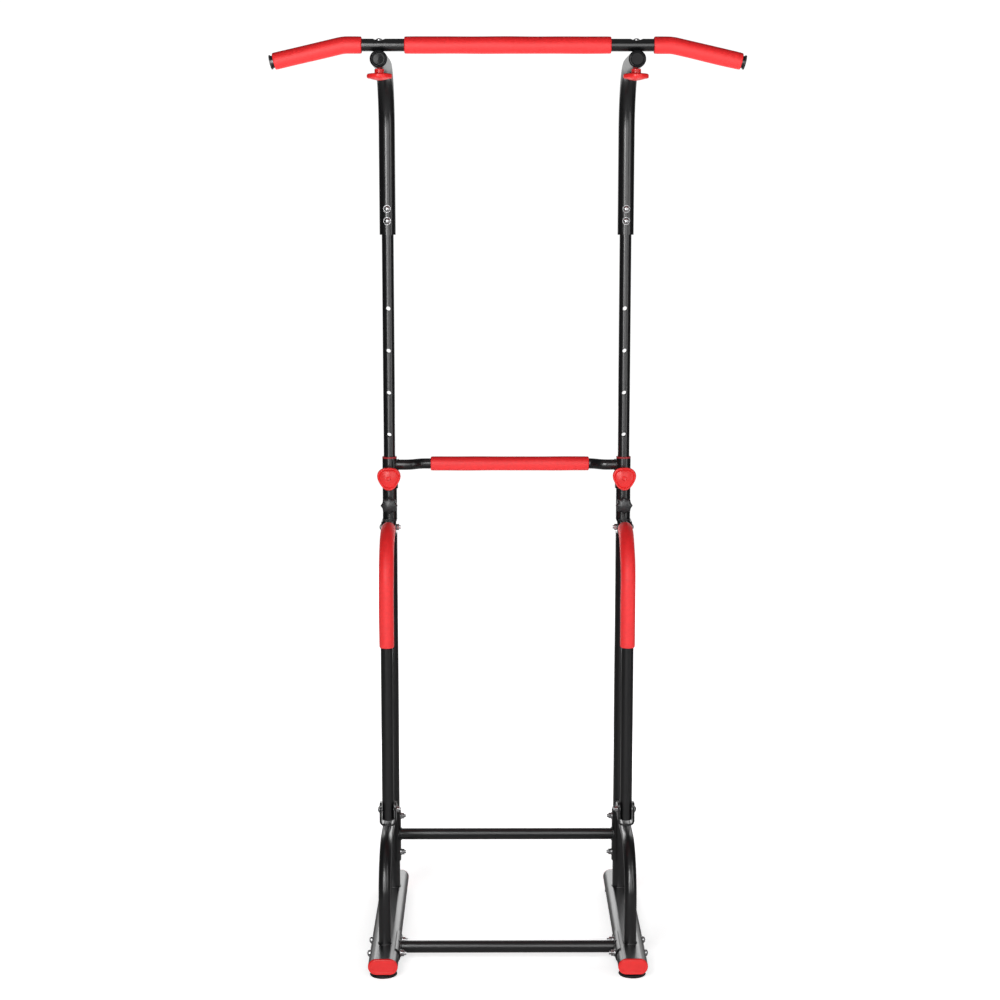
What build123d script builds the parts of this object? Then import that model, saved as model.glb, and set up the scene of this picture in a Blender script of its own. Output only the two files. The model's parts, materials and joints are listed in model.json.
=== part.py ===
"""Power tower: two uprights on flat-oval feet, padded dip arms and a sliding pull-up mast.

Millimetres. +Z is up, +X is the user's right and -Y is the open front of the tower.
The origin is on the floor, at the middle of the base's length and width.
"""
from build123d import *
import math
import os

# Overall layout
HALF_SPAN = 280.0        # centre of each upright from the middle
POST_Y = 180.0           # uprights stand behind the middle of the base
ARM_Y = POST_Y - 200.0   # vertical run of the dip arms
STRUT_Y = POST_Y - 379.0 # foot of the lower struts
GRIP_Y = POST_Y - 290.0  # pull-up bar, carried ahead of the uprights
STEEL_WALL = 1.5
PLATE = 3.0              # thickness of the curved plates on the bolted bars

# Base
BASE_W = 67.0
BASE_H = 37.0
BASE_Z = 28.5
BASE_TUBE_LEN = 590.0
CAP_LIP = 5.0
FOOT_Y = 266.0
FOOT_R = 31.0

# Uprights, posts and mast
SLEEVE_R = 17.5
SLEEVE_TOP = 1114.0
POST_R = 14.0
POST_BOTTOM = 850.0
POST_TOP = 1730.0
HOLE_Z = 1071.0
HOLE_PITCH = 100.0
HOLE_COUNT = 5
HOLE_R = 5.4
MAST_R = 19.0
MAST_BOTTOM = 1644.0
MAST_BOLT_Z = (1676.0, 1704.0)
NECK_Z = 2025.5
NECK_BEND = 142.0
NECK_END_Y = POST_Y - 321.0

# Small tubes and foam
TUBE_R = 14.0
MID_R = 12.5
BAR_R = 13.5
FOAM_R = 18.8
ARM_FOAM_R = 17.6
MID_FOAM_R = 17.4

# Heights of the cross members and the dip arms
LOW_BAR_Y = POST_Y - 355.0
HIGH_BAR_Z = 180.0
MID_BAR_Z = 1098.0
MID_FOAM_X = 8.0         # the padding sits a little to the right on its bar
STRUT_Z = 258.0
ARM_Z = 955.0
ARM_BEND = 120.0
ARM_PIVOT_Z = 306.0
ARM_PIVOT_Y = POST_Y - 50.0
BRACKET_X = 17.8
CLAMP_Z = 1005.0

# Pull-up bar
BAR_Z = NECK_Z + MAST_R + BAR_R - 1.0
BAR_KNEE = 356.0
BAR_END = 514.0
BAR_DROP = math.radians(13.0)

# Fasteners
BOLT_R = 4.0
BOLT_HOLE_R = 4.25
RUN_GAP = 0.08           # radial running clearance of a shaft in its bore
PIN_R = 5.0
STUD_R = 4.0
KNOB_TIP = 29.4
KNOB_WAIST = 4.0
KNOB_HUB_R = 10.5
KNOB_DISC = 10.0         # thickness of the lobed disc
KNOB_CROWN = 5.0
DIMPLE_R = 8.0
DIMPLE_DEPTH = 1.4

SIDES = (("left", -1), ("right", 1))


def save(shape, node):
    export_step(shape, f"parts/{node}.step")


def rod(p, q, r):
    """Round bar of radius r from point p to point q."""
    axis = Vector(*q) - Vector(*p)
    plane = Plane(origin=Vector(*p), z_dir=axis)
    return plane * Cylinder(r, axis.length, align=(Align.CENTER, Align.CENTER, Align.MIN))


def block(low, high):
    """Box between two opposite corners."""
    centre = [(a + b) / 2 for a, b in zip(low, high)]
    size = [b - a for a, b in zip(low, high)]
    return Pos(*centre) * Box(*size)


def bent(points, bend, r):
    """Round bar of radius r along a polyline with rounded corners."""
    path = FilletPolyline(*points, radius=bend)
    return sweep(Plane(origin=path @ 0, z_dir=path % 0) * Circle(r), path=path)


def flat_oval(width, height, y0, y1, x):
    """Flat-oval bar lying along Y."""
    plane = Plane(origin=(x, y0, BASE_Z), x_dir=(1, 0, 0), z_dir=(0, 1, 0))
    return extrude(plane * SlotOverall(width, height), y1 - y0)


def dome(plane, r, height, rim):
    """Low spherical cap on a short rim, standing on a plane."""
    rise = height - rim
    ball = (r * r + rise * rise) / (2 * rise)
    half = math.asin(r / ball) / 2
    middle = (ball * math.sin(half), height - ball + ball * math.cos(half))
    profile = Polyline((0, height), (0, 0), (r, 0), (r, rim))
    profile += ThreePointArc((r, rim), middle, (0, height))
    return plane * revolve(Plane.XZ * make_face(profile), Axis.Z)


def hexagon(plane, across, height):
    """Hexagonal nut body with chamfered corners, standing on a plane."""
    body = extrude(RegularPolygon(across / 2, 6, major_radius=False), height)
    trim = Cylinder(across * 0.56, height + 2, align=(Align.CENTER, Align.CENTER, Align.MIN))
    body &= Pos(0, 0, -1) * trim
    return plane * body


def bolt(start, direction, length, seat=0.0, seat_r=8.5):
    """Domed bolt: the underside of its head is at start and the shank runs in direction.

    seat is the depth of a washer skirt below the head, later shaped to a round tube.
    """
    away = Plane(origin=Vector(*start), z_dir=-Vector(*direction))
    end = Vector(*start) + Vector(*direction) * length
    body = rod(start, end, BOLT_R) + dome(away, 7.8, 5.0, 1.4)
    if seat:
        body += rod(Vector(*start) + Vector(*direction) * seat, start, seat_r)
    return body


def nut(start, direction, seat=0.0, seat_r=8.5):
    """Hexagonal nut on a shank: its seat is at start and it stands out in direction."""
    outward = Plane(origin=Vector(*start), z_dir=Vector(*direction))
    body = hexagon(outward, 13.0, 6.5)
    if seat:
        body += rod(Vector(*start) - Vector(*direction) * seat, start, seat_r)
    back = Vector(*start) - Vector(*direction) * (seat + 1)
    return body - rod(back, Vector(*start) + Vector(*direction) * 8, BOLT_R)


def lobed(lobes, r, waist, thickness, crown):
    """Knob of rounded lobes, standing on its back face with a crowned front."""
    points = []
    for k in range(lobes * 12):
        a = 2 * math.pi * k / (lobes * 12)
        points.append(((r - waist * (0.5 - 0.5 * math.cos(lobes * a))) * math.cos(a),
                       (r - waist * (0.5 - 0.5 * math.cos(lobes * a))) * math.sin(a)))
    body = extrude(make_face(Spline(*points, periodic=True)), thickness)
    body = fillet(body.faces().sort_by(Axis.Z)[-1].edges(), min(3.5, thickness / 3))
    body = fillet(body.faces().sort_by(Axis.Z)[0].edges(), 1.6)
    return body + Pos(0, 0, thickness) * dome(Plane.XY, (r - waist) * 0.84, crown, 0.3)


def base(side, s):
    x = s * HALF_SPAN
    half = BASE_TUBE_LEN / 2
    tube = flat_oval(BASE_W, BASE_H, -half, half, x)
    tube -= flat_oval(BASE_W - 3.6, BASE_H - 3.6, -half - 1, half + 1, x)
    for dy in (-40, 40):
        y = LOW_BAR_Y + dy
        tube -= rod((x - 40, y, BASE_Z), (x + 40, y, BASE_Z), BOLT_HOLE_R)
    save(tube, f"base_tube_{side}")
    for end, e in (("front", -1), ("rear", 1)):
        lip = flat_oval(BASE_W, BASE_H, min(e * half, e * (half + CAP_LIP)),
                        max(e * half, e * (half + CAP_LIP)), x)
        face = lip.faces().sort_by(Axis.Y)[0 if e < 0 else -1]
        lip = fillet(face.edges(), 2.6)
        stub = flat_oval(BASE_W - 4.4, BASE_H - 4.4, min(e * (half - 16), e * half),
                         max(e * (half - 16), e * half), x)
        save(lip + stub, f"end_cap_{end}_{side}")
        cup = Polyline((27, 0), (FOOT_R, 0), (FOOT_R, 1.6), (24, 5.4), (13.5, 7.0), (13.5, 10.0),
                       (0, 10.0), (0, 4.0))
        cup += ThreePointArc((0, 4.0), (16, 2.6), (27, 0))
        foot = revolve(Plane.XZ * make_face(cup), Axis.Z)
        save(Pos(x, e * FOOT_Y, 0) * foot, f"suction_foot_{end}_{side}")


def upright(side, s):
    x = s * HALF_SPAN
    tube = rod((x, POST_Y, 30), (x, POST_Y, SLEEVE_TOP), SLEEVE_R)
    boss = rod((x, POST_Y - 10, CLAMP_Z), (x, POST_Y - 31, CLAMP_Z), 8.5)
    tube += boss
    tube -= rod((x, POST_Y, 20), (x, POST_Y, SLEEVE_TOP + 1), SLEEVE_R - STEEL_WALL)
    tube -= flat_oval(BASE_W, BASE_H, -300, 300, x)
    tube -= rod((x, POST_Y, CLAMP_Z), (x, POST_Y - 40, CLAMP_Z), STUD_R + RUN_GAP)
    tube -= rod((x, POST_Y, HOLE_Z), (x, POST_Y - 40, HOLE_Z), PIN_R + RUN_GAP)
    for dz in (-46, 46):
        tube -= rod((x - 30, POST_Y, HIGH_BAR_Z + dz), (x + 30, POST_Y, HIGH_BAR_Z + dz), BOLT_HOLE_R)
    save(tube, f"upright_{side}")

    housing = rod((x, POST_Y - 12, HOLE_Z), (x, POST_Y - 33, HOLE_Z), 9.5)
    housing -= rod((x, POST_Y, HOLE_Z - 30), (x, POST_Y, HOLE_Z + 30), SLEEVE_R)
    housing -= rod((x, POST_Y, HOLE_Z), (x, POST_Y - 40, HOLE_Z), PIN_R + RUN_GAP)
    save(housing, f"pin_housing_{side}")

    top = SLEEVE_TOP
    ring = rod((x, POST_Y, top), (x, POST_Y, top + 4.5), SLEEVE_R)
    ring = fillet(ring.edges().filter_by(GeomType.CIRCLE).sort_by(Axis.Z)[-1], 1.6)
    ring += rod((x, POST_Y, top - 32), (x, POST_Y, top), SLEEVE_R - STEEL_WALL - 0.1)
    ring -= rod((x, POST_Y, top - 40), (x, POST_Y, top + 10), POST_R + 0.3)
    save(ring, f"post_bushing_{side}")


def strut(side, s):
    x = s * HALF_SPAN
    points = ((x, STRUT_Y, 30), (x, STRUT_Y, STRUT_Z), (x, POST_Y, STRUT_Z))
    tube = bent(points, ARM_BEND, TUBE_R) - bent(points, ARM_BEND, TUBE_R - STEEL_WALL)
    tube -= flat_oval(BASE_W, BASE_H, -300, 300, x)
    tube -= rod((x, POST_Y, STRUT_Z - 40), (x, POST_Y, STRUT_Z + 40), SLEEVE_R)
    save(tube, f"lower_strut_{side}")

    saddle = block((x - 19.5, ARM_Y - 16, STRUT_Z + 12), (x + 19.5, ARM_Y + 16, 324))
    saddle = fillet(saddle.edges().filter_by(Axis.Y).group_by(Axis.Z)[0], 12.0)
    hollow = block((x - 15.2, ARM_Y - 20, STRUT_Z + 16.3), (x + 15.2, ARM_Y + 20, 330))
    saddle -= fillet(hollow.edges().filter_by(Axis.Y).group_by(Axis.Z)[0], 8.0)
    corners = saddle.edges().filter_by(Axis.X).group_by(Axis.Z)[-1]
    saddle = fillet(corners, 11.0)
    saddle -= rod((x, ARM_Y - 30, STRUT_Z), (x, ARM_Y + 30, STRUT_Z), TUBE_R)
    saddle -= rod((x - 30, ARM_Y, ARM_PIVOT_Z), (x + 30, ARM_Y, ARM_PIVOT_Z), BOLT_HOLE_R)
    save(saddle, f"strut_bracket_{side}")


def dip_arm(side, s):
    x = s * HALF_SPAN
    points = ((x, POST_Y - 30, ARM_Z), (x, ARM_Y, ARM_Z), (x, ARM_Y, 282))
    tube = bent(points, ARM_BEND, TUBE_R) - bent(points, ARM_BEND, TUBE_R - STEEL_WALL)
    tube -= rod((x - 30, ARM_Y, ARM_PIVOT_Z), (x + 30, ARM_Y, ARM_PIVOT_Z), BOLT_HOLE_R)
    tube -= rod((x - 30, ARM_PIVOT_Y, ARM_Z), (x + 30, ARM_PIVOT_Y, ARM_Z), BOLT_HOLE_R)
    save(tube, f"dip_arm_{side}")

    sleeve = ((x, POST_Y - 78, ARM_Z), (x, ARM_Y, ARM_Z), (x, ARM_Y, 696))
    foam = bent(sleeve, ARM_BEND, ARM_FOAM_R)
    foam = fillet(foam.edges().filter_by(GeomType.CIRCLE), 2.2)
    save(foam - bent(points, ARM_BEND, TUBE_R), f"dip_foam_{side}")

    clevis = block((x - BRACKET_X, POST_Y - 70, ARM_Z - 14), (x + BRACKET_X, POST_Y - 5, ARM_Z + 14))
    clevis = fillet(clevis.edges().filter_by(Axis.X).group_by(Axis.Y)[0], 12.0)
    clevis -= block((x - 14.3, POST_Y - 80, ARM_Z - 20), (x + 14.3, POST_Y - 25, ARM_Z + 20))
    clevis -= rod((x, POST_Y, ARM_Z - 30), (x, POST_Y, ARM_Z + 30), SLEEVE_R)
    clevis -= rod((x - 30, ARM_PIVOT_Y, ARM_Z), (x + 30, ARM_PIVOT_Y, ARM_Z), BOLT_HOLE_R)
    save(clevis, f"arm_bracket_{side}")


def saddle_plate(centre, axis, r, half_len, s, bolts):
    """Curved plate hugging the inner side of a round tube, drilled for bolts along X."""
    d = Vector(*axis) * half_len
    shell = rod(Vector(*centre) - d, Vector(*centre) + d, r + PLATE)
    shell -= rod(Vector(*centre) - d * 1.1, Vector(*centre) + d * 1.1, r)
    edge = centre[0] - s * r * 0.55
    far = centre[0] - s * (r + 5)
    plate = shell & block((min(edge, far), -400, 0), (max(edge, far), 400, 1300))
    for offset in bolts:
        at = Vector(*centre) + Vector(*axis) * offset
        plate -= rod(at, at - Vector(s * 60, 0, 0), BOLT_HOLE_R)
    return plate


def cross_members():
    points = ((-HALF_SPAN, POST_Y, MID_BAR_Z), (-232, POST_Y, MID_BAR_Z), (-206, POST_Y + 22, MID_BAR_Z),
              (206, POST_Y + 22, MID_BAR_Z), (232, POST_Y, MID_BAR_Z), (HALF_SPAN, POST_Y, MID_BAR_Z))
    low = rod((-250, LOW_BAR_Y, BASE_Z), (250, LOW_BAR_Y, BASE_Z), TUBE_R)
    low -= rod((-251, LOW_BAR_Y, BASE_Z), (251, LOW_BAR_Y, BASE_Z), TUBE_R - STEEL_WALL)
    high = rod((-270, POST_Y, HIGH_BAR_Z), (270, POST_Y, HIGH_BAR_Z), TUBE_R)
    high -= rod((-271, POST_Y, HIGH_BAR_Z), (271, POST_Y, HIGH_BAR_Z), TUBE_R - STEEL_WALL)
    mid = bent(points, 30.0, MID_R) - bent(points, 30.0, MID_R - STEEL_WALL)
    arc_x = HALF_SPAN - (BASE_W - BASE_H) / 2
    for side, s in SIDES:
        x = s * HALF_SPAN
        low -= rod((s * arc_x, LOW_BAR_Y - 60, BASE_Z), (s * arc_x, LOW_BAR_Y + 60, BASE_Z),
                   BASE_H / 2 + 1.5)
        high -= rod((x, POST_Y, 50), (x, POST_Y, 300), SLEEVE_R + 1.5)
        mid -= rod((x, POST_Y, 1000), (x, POST_Y, 1200), SLEEVE_R + 1.5)
    for side, s in SIDES:
        x = s * HALF_SPAN
        low += saddle_plate((s * arc_x, LOW_BAR_Y, BASE_Z), (0, 1, 0), BASE_H / 2, 58, s, (-40, 40))
        high += saddle_plate((x, POST_Y, HIGH_BAR_Z), (0, 0, 1), SLEEVE_R, 66, s, (-46, 46))
        mid += saddle_plate((x, POST_Y, MID_BAR_Z - 22), (0, 0, 1), SLEEVE_R, 34, s, ())
    save(low, "lower_crossbar")
    save(high, "upper_crossbar")
    save(mid, "mid_bar")
    ends = [(MID_FOAM_X + dx, POST_Y + 22, MID_BAR_Z) for dx in (-190, 190)]
    pad = rod(*ends, MID_FOAM_R)
    pad = fillet(pad.edges().filter_by(GeomType.CIRCLE), 2.2)
    save(pad - bent(points, 30.0, MID_R), "mid_bar_foam")


def frame_fasteners():
    low_bolts, high_bolts, arm_bolts, nuts = [], [], [], []
    for side, s in SIDES:
        x = s * HALF_SPAN
        base_side = flat_oval(BASE_W, BASE_H, -300, 300, x)
        low_shell = rod((s * 265, LOW_BAR_Y - 70, BASE_Z), (s * 265, LOW_BAR_Y + 70, BASE_Z),
                        BASE_H / 2 + PLATE)
        for d in (-40, 40):
            y = LOW_BAR_Y + d
            outer = x + s * (BASE_W / 2 + 1.2)
            shank = bolt((outer, y, BASE_Z), (-s, 0, 0), 84, 4.0)
            hole = rod((x - 60, y, BASE_Z), (x + 60, y, BASE_Z), BOLT_HOLE_R)
            low_bolts.append(shank - (base_side - hole))
            inner = x - s * (BASE_W / 2 + PLATE + 1.2)
            nuts.append(nut((inner, y, BASE_Z), (-s, 0, 0), 4.0) - low_shell)
        column = rod((x, POST_Y, 80), (x, POST_Y, 280), SLEEVE_R)
        shell = rod((x, POST_Y, 80), (x, POST_Y, 280), SLEEVE_R + PLATE)
        for d in (-46, 46):
            z = HIGH_BAR_Z + d
            shank = bolt((x + s * (SLEEVE_R + 1.2), POST_Y, z), (-s, 0, 0), 51, 4.0)
            hole = rod((x - 30, POST_Y, z), (x + 30, POST_Y, z), BOLT_HOLE_R)
            high_bolts.append(shank - (column - hole))
            nuts.append(nut((x - s * (SLEEVE_R + PLATE + 1.2), POST_Y, z), (-s, 0, 0), 4.0) - shell)
        for y, z, half in ((ARM_Y, ARM_PIVOT_Z, 19.5), (ARM_PIVOT_Y, ARM_Z, BRACKET_X)):
            arm_bolts.append(bolt((x + s * half, y, z), (-s, 0, 0), 2 * half + 10))
            nuts.append(nut((x - s * half, y, z), (-s, 0, 0)))
    save(Compound(low_bolts), "base_bolts")
    save(Compound(high_bolts), "crossbar_bolts")
    save(Compound(arm_bolts), "arm_bolts")
    save(Compound(nuts), "frame_nuts")


def mast(side, s):
    x = s * HALF_SPAN
    post = rod((x, POST_Y, POST_BOTTOM), (x, POST_Y, POST_TOP), POST_R)
    post -= rod((x, POST_Y, POST_BOTTOM - 1), (x, POST_Y, POST_TOP + 1), POST_R - STEEL_WALL)
    for k in range(HOLE_COUNT):
        z = HOLE_Z + k * HOLE_PITCH
        post -= rod((x, POST_Y - 30, z), (x, POST_Y + 30, z), HOLE_R)
    for z in MAST_BOLT_Z:
        post -= rod((x, POST_Y - 30, z), (x, POST_Y + 30, z), BOLT_HOLE_R)
    save(post, f"inner_post_{side}")

    points = ((x, POST_Y, MAST_BOTTOM), (x, POST_Y, NECK_Z), (x, NECK_END_Y, NECK_Z))
    bore = ((x, POST_Y, POST_TOP + 2), (x, POST_Y, NECK_Z), (x, NECK_END_Y, NECK_Z))
    tube = bent(points, NECK_BEND, MAST_R) - bent(bore, NECK_BEND, MAST_R - 2.0)
    tube -= rod((x, POST_Y, MAST_BOTTOM - 5), (x, POST_Y, POST_TOP + 3), POST_R)
    for z in MAST_BOLT_Z:
        tube -= rod((x, POST_Y - 30, z), (x, POST_Y + 30, z), BOLT_HOLE_R)
    tube -= rod((x, GRIP_Y, NECK_Z - 30), (x, GRIP_Y, NECK_Z + 30), BOLT_HOLE_R)
    save(tube, f"mast_tube_{side}")

    end = Plane(origin=(x, NECK_END_Y, NECK_Z), z_dir=(0, -1, 0))
    plug = dome(end, MAST_R, 5.0, 2.6)
    plug += rod((x, NECK_END_Y + 14, NECK_Z), (x, NECK_END_Y, NECK_Z), MAST_R - 2.2)
    plug -= rod((x, NECK_END_Y - 2.8, NECK_Z), (x, NECK_END_Y - 8, NECK_Z), MAST_R - 4.5)
    save(plug, f"mast_plug_{side}")


def mast_fasteners():
    bolts, nuts, carriage = [], [], []
    for side, s in SIDES:
        x = s * HALF_SPAN
        column = rod((x, POST_Y, 1600), (x, POST_Y, 1760), MAST_R)
        for z in MAST_BOLT_Z:
            hole = rod((x, POST_Y - 40, z), (x, POST_Y + 40, z), BOLT_HOLE_R)
            bolts.append(bolt((x, POST_Y - MAST_R - 1.0, z), (0, 1, 0), 51, 4.0) - (column - hole))
            nuts.append(nut((x, POST_Y + MAST_R + 1.0, z), (0, 1, 0), 4.0) - column)
        carriage.append(bolt((x, GRIP_Y, BAR_Z + BAR_R - 4.0), (0, 0, -1), 76))
    save(Compound(bolts), "mast_bolts")
    save(Compound(nuts), "mast_nuts")
    save(Compound(carriage), "bar_bolts")


def bar_points(x_end):
    drop = (x_end - BAR_KNEE) * math.tan(BAR_DROP)
    right = ((BAR_KNEE, GRIP_Y, BAR_Z), (x_end, GRIP_Y, BAR_Z - drop))
    left = tuple((-x, y, z) for x, y, z in reversed(right))
    return left + right


def pull_up_bar():
    outer = bent(bar_points(BAR_END), 90.0, BAR_R)
    bar = outer - bent(bar_points(BAR_END + 1), 90.0, BAR_R - STEEL_WALL)
    for side, s in SIDES:
        x = s * HALF_SPAN
        bar += rod((x - 17, GRIP_Y, BAR_Z), (x + 17, GRIP_Y, BAR_Z), BAR_R)
        bar -= rod((x, POST_Y, NECK_Z), (x, GRIP_Y - 40, NECK_Z), MAST_R)
        bar -= rod((x, GRIP_Y - 30, BAR_Z + BAR_R + 21), (x, GRIP_Y + 30, BAR_Z + BAR_R + 21), 25.0)
        bar -= rod((x, GRIP_Y, BAR_Z + BAR_R - 4.0), (x, GRIP_Y, BAR_Z + 30), 8.2)
        bar -= rod((x, GRIP_Y, BAR_Z - 30), (x, GRIP_Y, BAR_Z + 30), BOLT_HOLE_R)
    save(bar, "pull_up_bar")

    pad = rod((-225, GRIP_Y, BAR_Z), (225, GRIP_Y, BAR_Z), FOAM_R)
    pad = fillet(pad.edges().filter_by(GeomType.CIRCLE), 2.2)
    pad -= rod((-226, GRIP_Y, BAR_Z), (226, GRIP_Y, BAR_Z), BAR_R)
    save(pad, "bar_foam_centre")
    for side, s in SIDES:
        x_out = 510.0
        drop = (x_out - BAR_KNEE) * math.tan(BAR_DROP)
        run = ((s * 318, GRIP_Y, BAR_Z), (s * BAR_KNEE, GRIP_Y, BAR_Z), (s * x_out, GRIP_Y, BAR_Z - drop))
        grip = bent(run, 90.0, FOAM_R)
        grip = fillet(grip.edges().filter_by(GeomType.CIRCLE), 2.2)
        save(grip - outer, f"bar_foam_{side}")
        drop = (BAR_END - BAR_KNEE) * math.tan(BAR_DROP)
        out = Vector(s * math.cos(BAR_DROP), 0, -math.sin(BAR_DROP))
        tip = Vector(s * BAR_END, GRIP_Y, BAR_Z - drop)
        plug = dome(Plane(origin=tip, z_dir=out), 15.5, 5.0, 3.4)
        plug += rod(tip - out * 14, tip, BAR_R - STEEL_WALL - 0.2)
        save(plug, f"bar_plug_{side}")


def knobs(side, s):
    x = s * HALF_SPAN
    front = Plane(origin=(x, POST_Y - 33.4, HOLE_Z), x_dir=(0, 0, -1), z_dir=(0, -1, 0))
    hub = Cylinder(KNOB_HUB_R, 4.0, align=(Align.CENTER, Align.CENTER, Align.MIN))
    knob = Pos(0, 0, 3) * lobed(3, KNOB_TIP, KNOB_WAIST, KNOB_DISC, KNOB_CROWN) + hub
    crown_top = 3 + KNOB_DISC + KNOB_CROWN
    knob -= Pos(0, 0, crown_top + DIMPLE_R - DIMPLE_DEPTH) * Sphere(DIMPLE_R)
    knob = front * knob
    knob -= rod((x, POST_Y, HOLE_Z), (x, POST_Y - 44, HOLE_Z), PIN_R)
    save(knob, f"pin_knob_{side}")
    pin = rod((x, POST_Y - POST_R - 0.5, HOLE_Z), (x, POST_Y - 44, HOLE_Z), PIN_R)
    save(pin, f"lock_pin_{side}")

    front = Plane(origin=(x, POST_Y - 31.4, CLAMP_Z), x_dir=(0, 0, 1), z_dir=(0, -1, 0))
    star = front * lobed(8, 20.6, 2.8, 15.0, 4.0)
    star -= rod((x, POST_Y, CLAMP_Z), (x, POST_Y - 44, CLAMP_Z), STUD_R)
    save(star, f"clamp_knob_{side}")
    stud = rod((x, POST_Y - POST_R - 0.4, CLAMP_Z), (x, POST_Y - 44, CLAMP_Z), STUD_R)
    save(stud, f"clamp_stud_{side}")

    under = NECK_Z - MAST_R - 0.4
    down = Plane(origin=(x, GRIP_Y, under - 10), x_dir=(0, -1, 0), z_dir=(0, 0, -1))
    body = down * lobed(3, KNOB_TIP, KNOB_WAIST, KNOB_DISC, KNOB_CROWN)
    body += rod((x, GRIP_Y, under - 11), (x, GRIP_Y, under), KNOB_HUB_R)
    body -= rod((x, GRIP_Y, under - 18.4), (x, GRIP_Y, under + 1), BOLT_R + RUN_GAP)
    save(body, f"top_knob_{side}")


os.makedirs("parts", exist_ok=True)
for name, sign in SIDES:
    base(name, sign)
    upright(name, sign)
    strut(name, sign)
    dip_arm(name, sign)
    mast(name, sign)
    knobs(name, sign)
cross_members()
frame_fasteners()
mast_fasteners()
pull_up_bar()
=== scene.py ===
"""Power tower: foam, knobs, caps, feet, welds, finishes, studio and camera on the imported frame.

Every length is in metres in the frame's own axes: +Z up, -Y towards the open front.
"""
import json
import math
import bpy
import numpy as np
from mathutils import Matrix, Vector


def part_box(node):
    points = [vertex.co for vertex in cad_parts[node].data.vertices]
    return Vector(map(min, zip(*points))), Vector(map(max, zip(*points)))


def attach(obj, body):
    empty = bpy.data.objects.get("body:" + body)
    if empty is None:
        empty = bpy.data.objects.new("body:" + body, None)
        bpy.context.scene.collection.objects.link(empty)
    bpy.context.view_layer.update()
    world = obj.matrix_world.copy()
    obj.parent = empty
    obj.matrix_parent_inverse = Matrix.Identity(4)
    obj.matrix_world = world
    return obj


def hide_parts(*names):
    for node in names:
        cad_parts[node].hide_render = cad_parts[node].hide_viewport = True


bl_info = {
    "name": "Power Tower Looks",
    "version": (1, 0, 0),
    "blender": (4, 5, 0),
    "location": "View3D > Sidebar > Power Tower",
    "description": "Foam, knobs, welds, finishes and studio for a power tower",
    "category": "Object",
}

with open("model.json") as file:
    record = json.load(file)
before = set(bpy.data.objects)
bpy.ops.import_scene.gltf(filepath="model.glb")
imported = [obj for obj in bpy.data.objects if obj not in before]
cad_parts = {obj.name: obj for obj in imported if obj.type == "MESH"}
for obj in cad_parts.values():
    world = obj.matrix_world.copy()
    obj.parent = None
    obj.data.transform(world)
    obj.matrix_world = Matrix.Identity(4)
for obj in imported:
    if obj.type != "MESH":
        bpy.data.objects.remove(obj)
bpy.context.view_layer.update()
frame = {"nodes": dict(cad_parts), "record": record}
SIDES = (("left", -1), ("right", 1))
FOAM_CLEARANCE = 0.0001     # between a tube and the foam's bore
FOAM_DRAW_IN = 0.0004       # how far a cut end of the foam draws in
FOAM_DRAW_LENGTH = 0.006    # how fast that fades along the sleeve
X = np.array((1.0, 0.0, 0.0))
Y = np.array((0.0, 1.0, 0.0))
Z = np.array((0.0, 0.0, 1.0))


def corners(node):
    """Lowest and highest corner of a node as arrays."""
    low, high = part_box(node)
    return np.array(low), np.array(high)


def middle(node):
    low, high = corners(node)
    return (low + high) / 2


def span(node):
    low, high = corners(node)
    return high - low


# ---------------------------------------------------------------- settings

def length(name, default, description):
    return bpy.props.FloatProperty(name=name, default=default, description=description, min=0.0,
                                   precision=5, subtype="DISTANCE", unit="LENGTH")


def colour(name, default, description):
    return bpy.props.FloatVectorProperty(name=name, default=default, description=description,
                                         subtype="COLOR", size=3, min=0.0, max=1.0)


class TowerSizes(bpy.types.PropertyGroup):
    arm_bend: length("Dip arm bend", 0.120, "Centreline radius of the dip arms' top bend")
    grip_bend: length("Grip bend", 0.090, "Centreline radius of the pull-up bar's two bends")
    grip_drop: bpy.props.FloatProperty(name="Grip drop", default=math.radians(13.0), subtype="ANGLE",
                                       description="How far the outer grips slope down")
    foam_edge: length("Foam edge", 0.0028, "Rounding of the foam sleeves' cut ends")
    foam_swell: length("Foam swell", 0.00022, "Unevenness of the foam's skin")
    weld_bead: length("Weld bead", 0.0021, "Half thickness of the weld beads")
    cap_edge: length("Cap edge", 0.0042, "Rounding of the end caps' faces")
    mid_bar: length("Mid bar", 0.0125, "Radius of the mid bar's tube")
    clamp_boss: length("Clamp boss", 0.0085, "Radius of the boss that a star knob screws into")
    plate: length("Plate", 0.0030, "Thickness of the curved plates on the bolted bars")
    knob_tip: length("Knob tip", 0.0294, "Reach of the red knobs' three lobes")
    knob_waist: length("Knob waist", 0.0040, "How far the rim draws in between the lobes")
    knob_disc: length("Knob disc", 0.0100, "Thickness of the red knobs at the rim")
    knob_crown: length("Knob crown", 0.0050, "Rise of the red knobs' domed face")
    knob_hub: length("Knob hub", 0.0105, "Radius of the hub behind a red knob")


class TowerColours(bpy.types.PropertyGroup):
    paint: colour("Powder coat", (0.005, 0.005, 0.006), "Black powder coat on the steel")
    foam: colour("Foam", (0.97, 0.018, 0.021), "Red foam sleeves")
    plastic: colour("Red plastic", (0.84, 0.022, 0.022), "Red caps and knobs")
    # The bushing rings' colour is the red plastic darkened to stand for the shade they sit in: painted
    # shade
    ring: colour("Deep red plastic", (0.34, 0.022, 0.028), "Bushings on top of the uprights")
    dark: colour("Black plastic", (0.026, 0.026, 0.028), "Black star knobs")
    plug: colour("Black plugs", (0.010, 0.010, 0.011), "Glossy black plugs in the tube ends")
    rubber: colour("Rubber", (0.022, 0.022, 0.023), "Suction feet")
    zinc: colour("Zinc", (0.72, 0.72, 0.73), "Plated bolts and nuts")


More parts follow.
